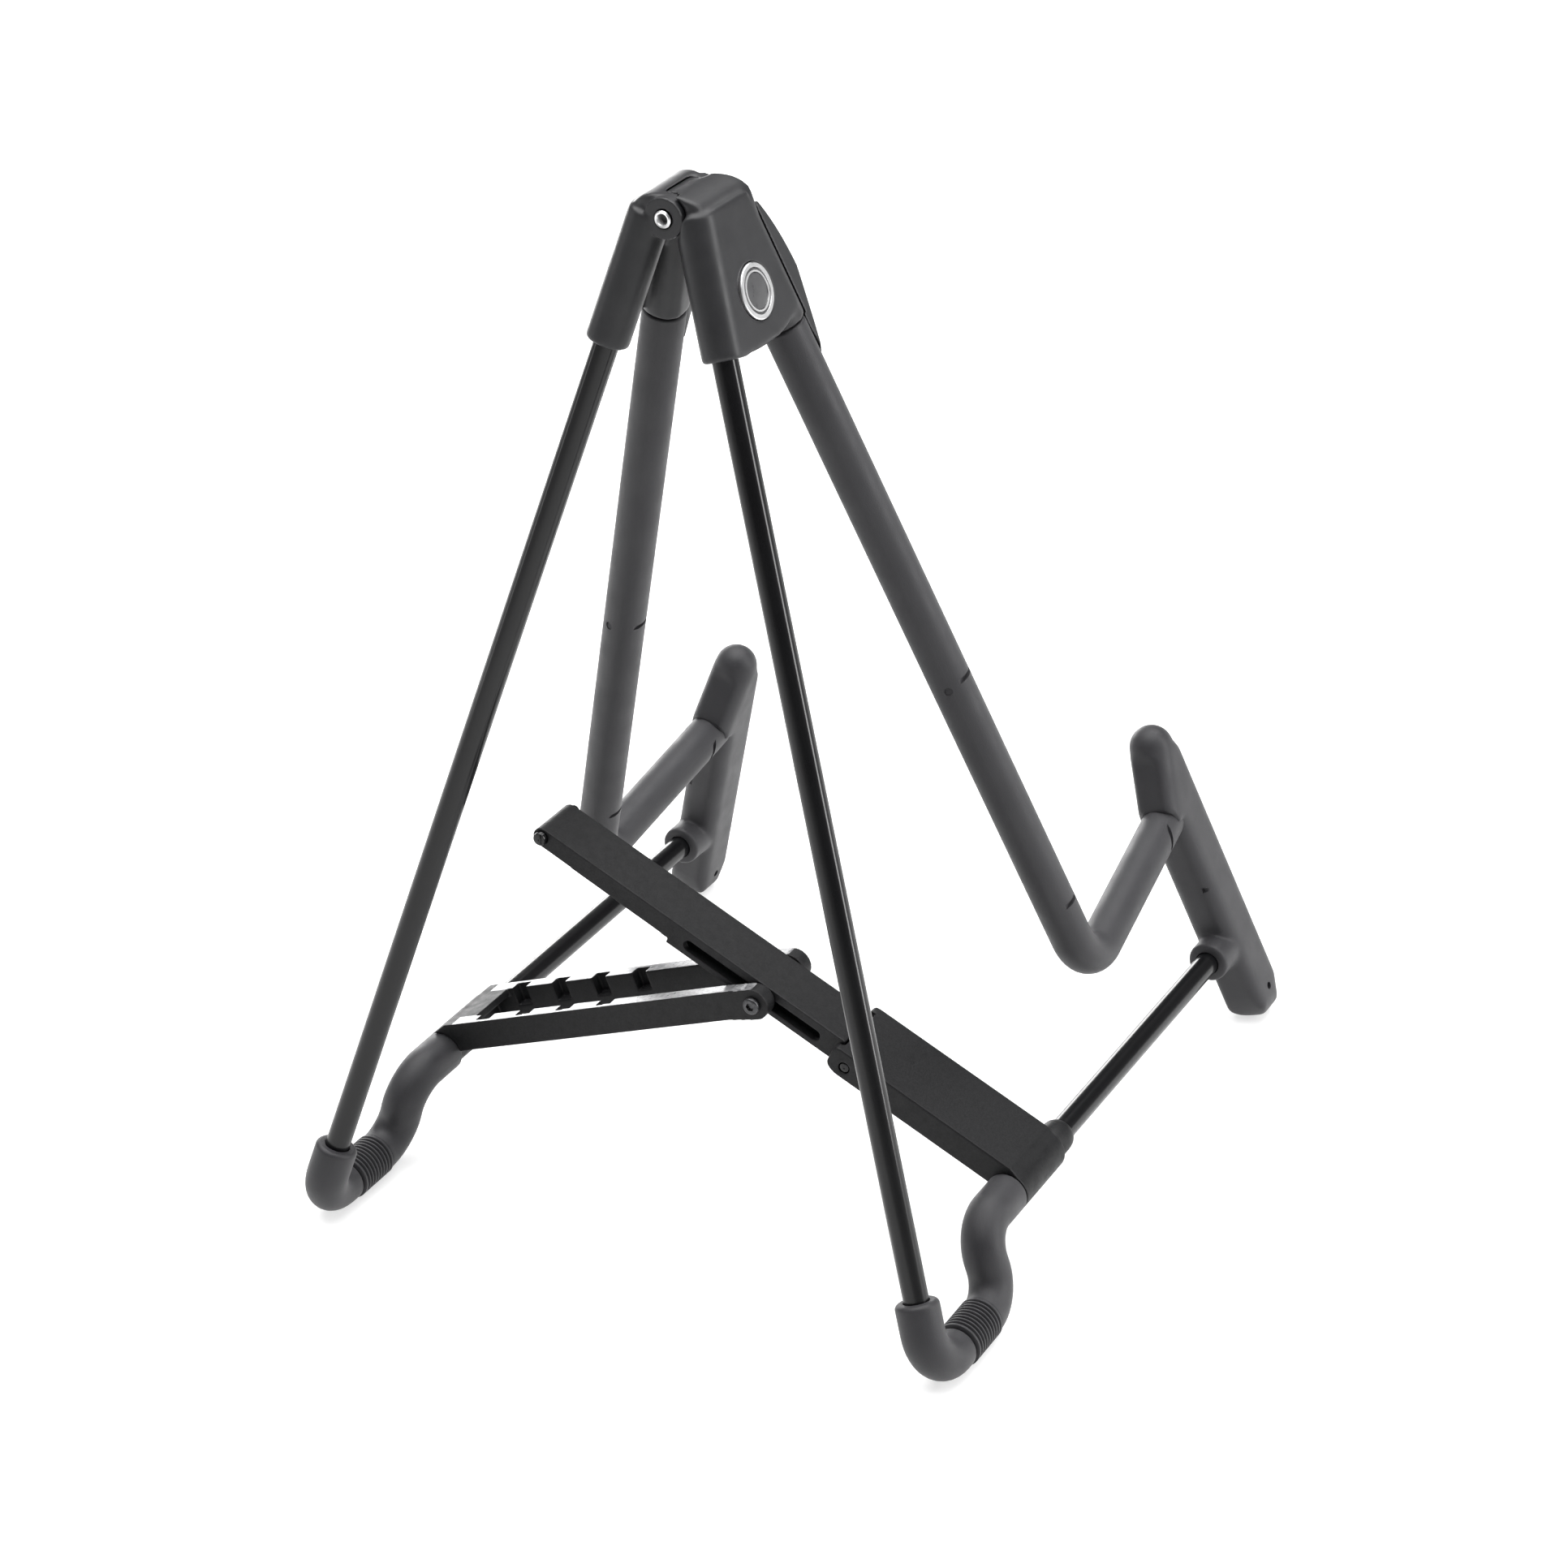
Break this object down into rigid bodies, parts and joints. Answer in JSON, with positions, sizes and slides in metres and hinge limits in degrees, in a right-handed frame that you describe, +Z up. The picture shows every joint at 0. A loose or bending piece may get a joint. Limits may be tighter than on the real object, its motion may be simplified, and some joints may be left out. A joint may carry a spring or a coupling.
{
  "type": "folding guitar stand",
  "caption": "Folding A-frame floor stand for a guitar: bent-tube side frames with a soft cradle and upright horns, hinged at the head and held apart by a notched spreader.",
  "frame": {"origin": "middle of the footprint, on the floor", "axes": "+Z up, +Y towards the two feet at the back, -Y towards the cradle and its horns, +X from side a to side b"},
  "size_m": [0.2548, 0.2846, 0.367],
  "materials": {
    "steel": "gloss black",
    "rubber": "matte",
    "plastic": "fine matte texture",
    "bright": "satin bright",
    "nylon": "smooth"
  },
  "bodies": {
    "side_a": {"rear_tube_a": "steel", "front_tube_a": "steel", "front_sleeve_a": "rubber", "foot_elbow_a": "rubber", "grip_band_a": "rubber", "s_bend_sleeve_a": "rubber", "stop_collar_a": "plastic", "horn_a": "rubber", "housing_a": "plastic", "leg_cover_a": "plastic", "badge_a": "bright", "hinge_pin": "bright"},
    "side_b": {"rear_tube_b": "steel", "front_tube_b": "steel", "front_sleeve_b": "rubber", "foot_elbow_b": "rubber", "grip_band_b": "rubber", "s_bend_sleeve_b": "rubber", "stop_collar_b": "plastic", "horn_b": "rubber", "housing_b": "plastic", "leg_cover_b": "plastic", "badge_b": "bright"},
    "spreader": {"rod_liner_a": "nylon", "wide_channel": "plastic", "slotted_bar": "plastic", "knee_pin": "steel", "notch_pin": "steel"},
    "fork": {"rod_liner_b": "nylon", "fork_bar": "plastic", "ear_screw_rear": "steel", "ear_screw_front": "steel"}
  },
  "joints": [
    {"name": "side_fold", "type": "hinge", "parent": "side_a", "child": "side_b", "pos_m": [0, 0.05338, 0.3597], "axis": [0, 1, 0], "range_deg": [0, 33]},
    {"name": "wide_fold", "type": "hinge", "parent": "side_a", "child": "spreader", "pos_m": [-0.11144, 0.05038, 0.03268], "axis": [0, 1, 0], "range_deg": [-49.2, 0]},
    {"name": "fork_fold", "type": "hinge", "parent": "side_b", "child": "fork", "pos_m": [0.11144, 0.05038, 0.03268], "axis": [0, 1, 0], "range_deg": [0, 37.9]}
  ],
  "couplings": [
    {"joint": "wide_fold", "follows": "side_fold", "ratio": -1.49},
    {"joint": "fork_fold", "follows": "side_fold", "ratio": 1.148}
  ]
}
